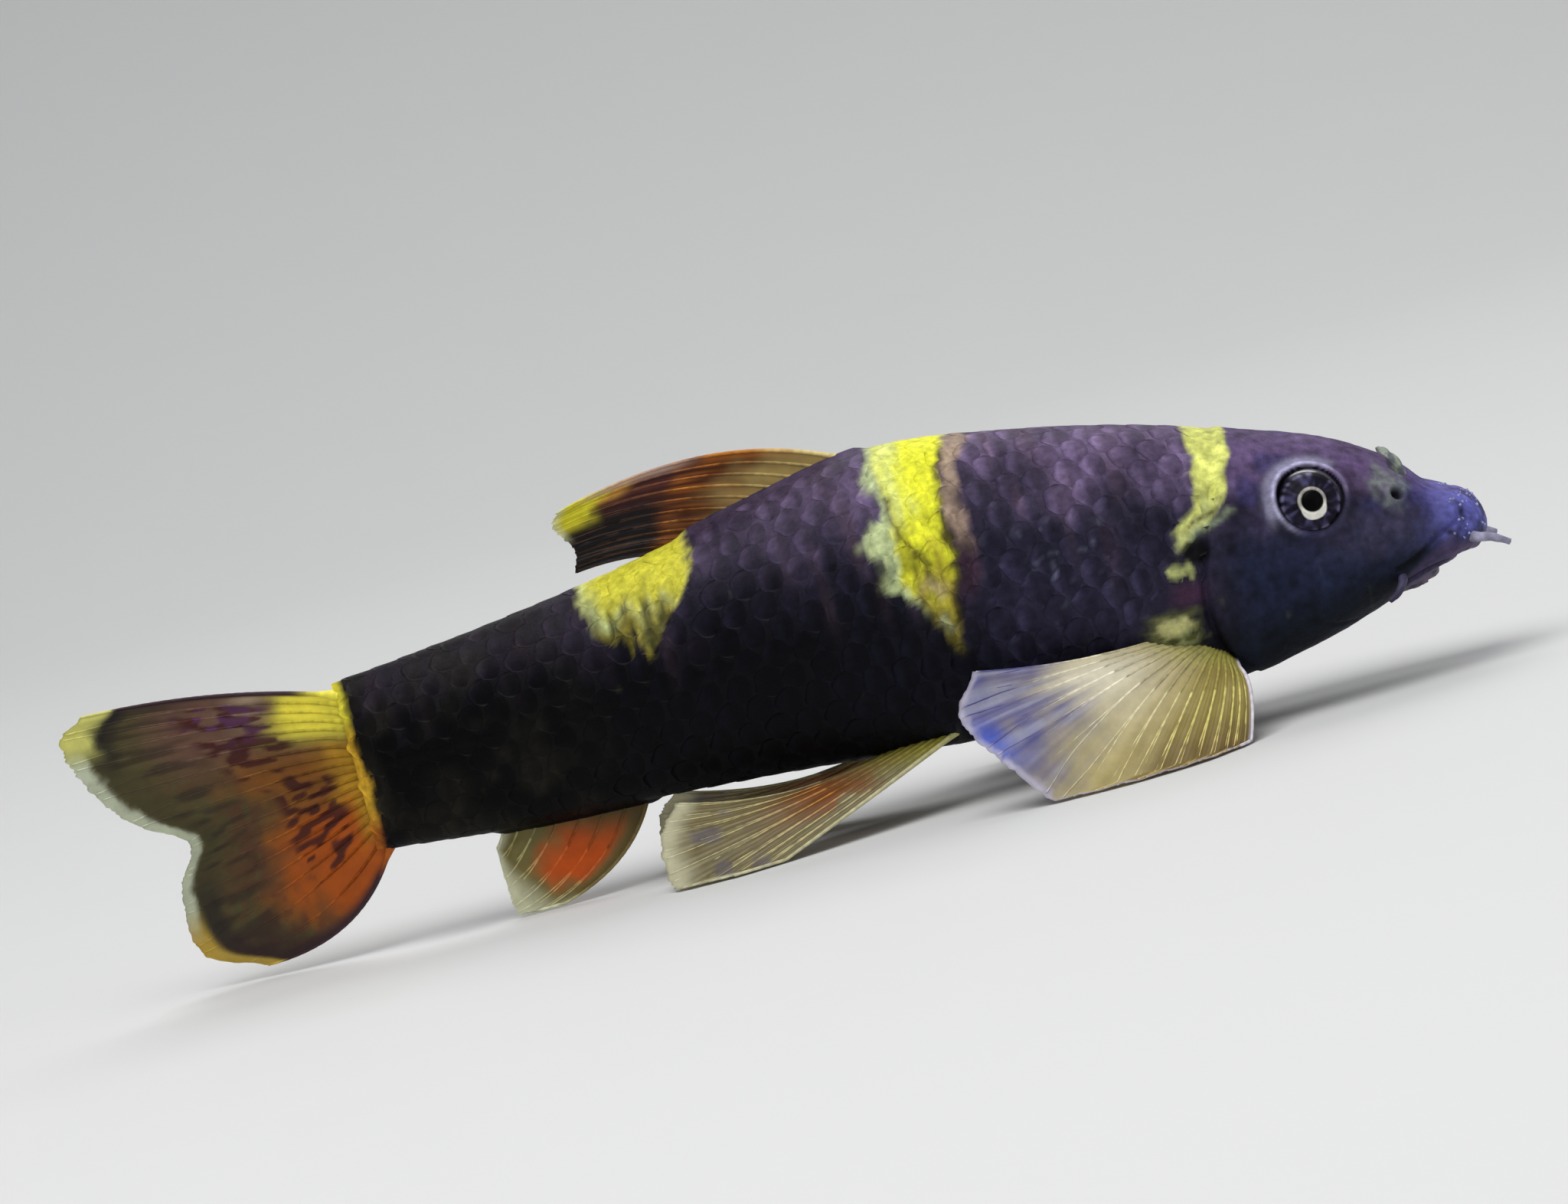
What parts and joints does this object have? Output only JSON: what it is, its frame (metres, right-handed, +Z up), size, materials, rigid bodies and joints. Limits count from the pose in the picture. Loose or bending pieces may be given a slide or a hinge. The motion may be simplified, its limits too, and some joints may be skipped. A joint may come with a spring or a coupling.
{
  "type": "panda garra, a small freshwater fish",
  "caption": "Life-size still model of a panda garra resting on its pectoral, pelvic and anal fins, with forked tail, folded dorsal fin and short barbels.",
  "frame": {"origin": "on the floor, under the middle of the fish's overall box", "axes": "+X towards the head, +Y towards the fish's left side, +Z up"},
  "size_m": [0.0838, 0.029, 0.0231],
  "materials": {
    "head_skin": "smooth moist purple-grey skin, darker below, with a pale yellow collar",
    "body_skin": "moist scaled skin, near black, crossed by bright yellow bands",
    "orange_fin": "thin rayed membrane, orange with maroon spots and pale tips",
    "pale_fin": "thin rayed membrane, translucent cream",
    "eye": "clear gloss over a dark iris with a narrow pale gold ring",
    "barbel": "soft pale skin"
  },
  "bodies": {
    "root": {"head": "head_skin", "gill_cover_left": "head_skin", "gill_cover_right": "head_skin", "trunk_front": "body_skin", "trunk_rear": "body_skin", "tail_stem": "body_skin", "caudal_fin": "orange_fin", "dorsal_fin": "orange_fin", "anal_fin": "orange_fin", "pectoral_fin_left": "pale_fin", "pectoral_fin_right": "pale_fin", "pelvic_fin_left": "pale_fin", "pelvic_fin_right": "pale_fin", "eye_left": "eye", "eye_right": "eye", "rostral_barbel_left": "barbel", "rostral_barbel_right": "barbel", "maxillary_barbel_left": "barbel", "maxillary_barbel_right": "barbel"}
  },
  "joints": []
}
